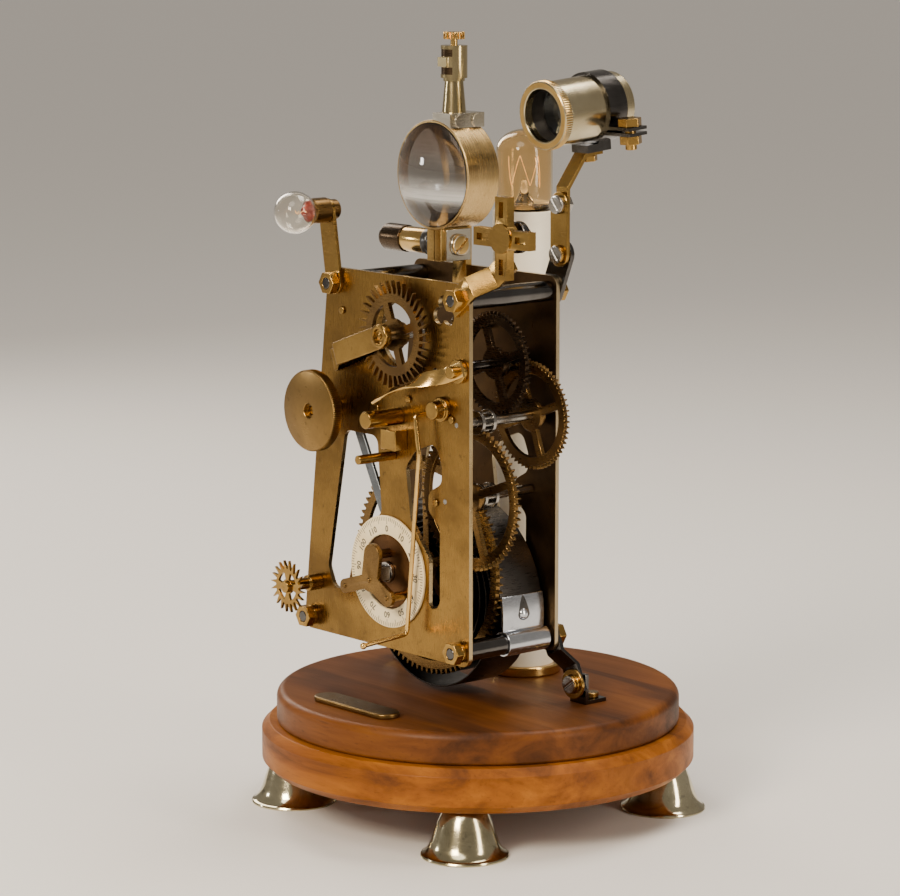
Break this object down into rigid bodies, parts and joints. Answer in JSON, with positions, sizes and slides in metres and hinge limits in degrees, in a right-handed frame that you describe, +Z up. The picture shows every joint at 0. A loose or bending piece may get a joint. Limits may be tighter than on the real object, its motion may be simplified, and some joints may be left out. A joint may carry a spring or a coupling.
{
  "type": "clockwork lantern lamp",
  "caption": "Table lamp built round an open clock movement on a turned wooden base, with a tubular bulb, a ringed lens, a tilting lens barrel and a small globe bulb.",
  "frame": {"origin": "on the floor under the middle of the round base", "axes": "+Z up, the movement and its lens face -Y, the lens barrel stands on the +X side"},
  "size_m": [0.172, 0.172, 0.3075],
  "materials": {
    "wood": "satin varnish",
    "brass": "aged",
    "bright_brass": "polished",
    "steel": "worn",
    "dark_steel": "blackened",
    "blue_steel": "blued",
    "nickel": "plated",
    "black": "satin",
    "dial": "satin",
    "ivory": "satin",
    "clear_glass": "clear",
    "amber_glass": "clear"
  },
  "bodies": {
    "frame": {"base_plinth": "wood", "base_deck": "wood", "front_plate": "brass", "back_plate": "brass", "escape_cock": "brass", "dial_bracket": "brass", "wire_rod": "brass", "lens_ring": "brass", "hand_strap": "brass", "lug_screws": "brass", "front_studs": "brass", "strap_lever": "brass", "pillar_nuts": "bright_brass", "base_tag": "bright_brass", "valve_stem": "bright_brass", "lens_ears": "bright_brass", "side_knob": "bright_brass", "bulb_core": "bright_brass", "ring_nut": "bright_brass", "hand_disc": "steel", "top_lug": "steel", "lower_lugs": "steel", "angle_feet": "steel", "pillars": "dark_steel", "mainspring": "dark_steel", "steel_lever": "blue_steel", "mainspring_hook": "blue_steel", "feet": "nickel", "ear_screw": "nickel", "stem_block": "nickel", "cord_bush": "black", "lamp_socket": "black", "dial_ring": "dial", "candle_sleeve": "ivory", "lens_glass": "clear_glass", "bulb_glass": "amber_glass"},
    "fourth": {"fourth_wheel": "brass", "fourth_arbor": "steel"},
    "third": {"third_wheel": "brass", "third_arbor": "steel"},
    "second": {"second_wheel": "brass", "second_arbor": "steel"},
    "great": {"great_wheel": "brass", "winding_arbor": "steel"},
    "escape": {"escape_wheel": "brass", "escape_arbor": "steel"},
    "thumb": {"thumb_disc": "brass"},
    "star": {"star_wheel": "bright_brass"},
    "hand": {"cross_handle": "bright_brass"},
    "cap": {"stem_cap": "bright_brass"},
    "link": {"arm_link": "brass", "elbow_pin": "bright_brass"},
    "strip": {"arm_strip": "brass"},
    "barrel": {"lens_barrel": "nickel", "barrel_lens": "clear_glass", "clamp_band": "black", "clamp_bolts": "bright_brass"},
    "globe": {"globe_bracket": "brass", "globe_holder": "bright_brass", "globe_glass": "clear_glass"}
  },
  "joints": [
    {"name": "fourth_spin", "type": "hinge", "parent": "frame", "child": "fourth", "pos_m": [0.02546, -0.022, 0.1823], "axis": [0, 1, 0], "continuous": true},
    {"name": "third_spin", "type": "hinge", "parent": "frame", "child": "third", "pos_m": [0.03778, -0.022, 0.16273], "axis": [0, 1, 0], "continuous": true},
    {"name": "second_spin", "type": "hinge", "parent": "frame", "child": "second", "pos_m": [0.03113, -0.022, 0.1325], "axis": [0, 1, 0], "continuous": true},
    {"name": "great_spin", "type": "hinge", "parent": "frame", "child": "great", "pos_m": [-0.002, -0.022, 0.1005], "axis": [0, 1, 0], "continuous": true},
    {"name": "escape_spin", "type": "hinge", "parent": "frame", "child": "escape", "pos_m": [0.00674, -0.022, 0.19445], "axis": [0, 1, 0], "continuous": true},
    {"name": "thumb_disc_spin", "type": "hinge", "parent": "frame", "child": "thumb", "pos_m": [-0.0343, -0.055, 0.1611], "axis": [0, 1, 0], "continuous": true},
    {"name": "star_wheel_spin", "type": "hinge", "parent": "frame", "child": "star", "pos_m": [-0.046, -0.059, 0.0897], "axis": [0, 1, 0], "continuous": true},
    {"name": "cross_handle_spin", "type": "hinge", "parent": "frame", "child": "hand", "pos_m": [0.062, -0.038, 0.2353], "axis": [0, 1, 0], "continuous": true},
    {"name": "stem_cap_spin", "type": "hinge", "parent": "frame", "child": "cap", "pos_m": [-0.006, -0.0074, 0.3], "axis": [0, 0, 1], "continuous": true},
    {"name": "link_tilt", "type": "hinge", "parent": "frame", "child": "link", "pos_m": [0.046, 0.001, 0.225], "axis": [0, 1, 0], "range_deg": [-12, 20]},
    {"name": "strip_tilt", "type": "hinge", "parent": "link", "child": "strip", "pos_m": [0.046, 0.0025, 0.244], "axis": [0, 1, 0], "range_deg": [-12, 20]},
    {"name": "barrel_swivel", "type": "hinge", "parent": "strip", "child": "barrel", "pos_m": [0.046, 0.01548, 0.26339], "axis": [0, -0.0872, 0.9962], "range_deg": [-30, 30]},
    {"name": "globe_tilt", "type": "hinge", "parent": "frame", "child": "globe", "pos_m": [-0.034, -0.0447, 0.2105], "axis": [0, 1, 0], "range_deg": [-25, 25]}
  ],
  "couplings": [
    {"joint": "third_spin", "follows": "fourth_spin", "ratio": -0.13333},
    {"joint": "second_spin", "follows": "fourth_spin", "ratio": 0.016667},
    {"joint": "great_spin", "follows": "fourth_spin", "ratio": -0.0014815},
    {"joint": "escape_spin", "follows": "fourth_spin", "ratio": -6.75}
  ]
}
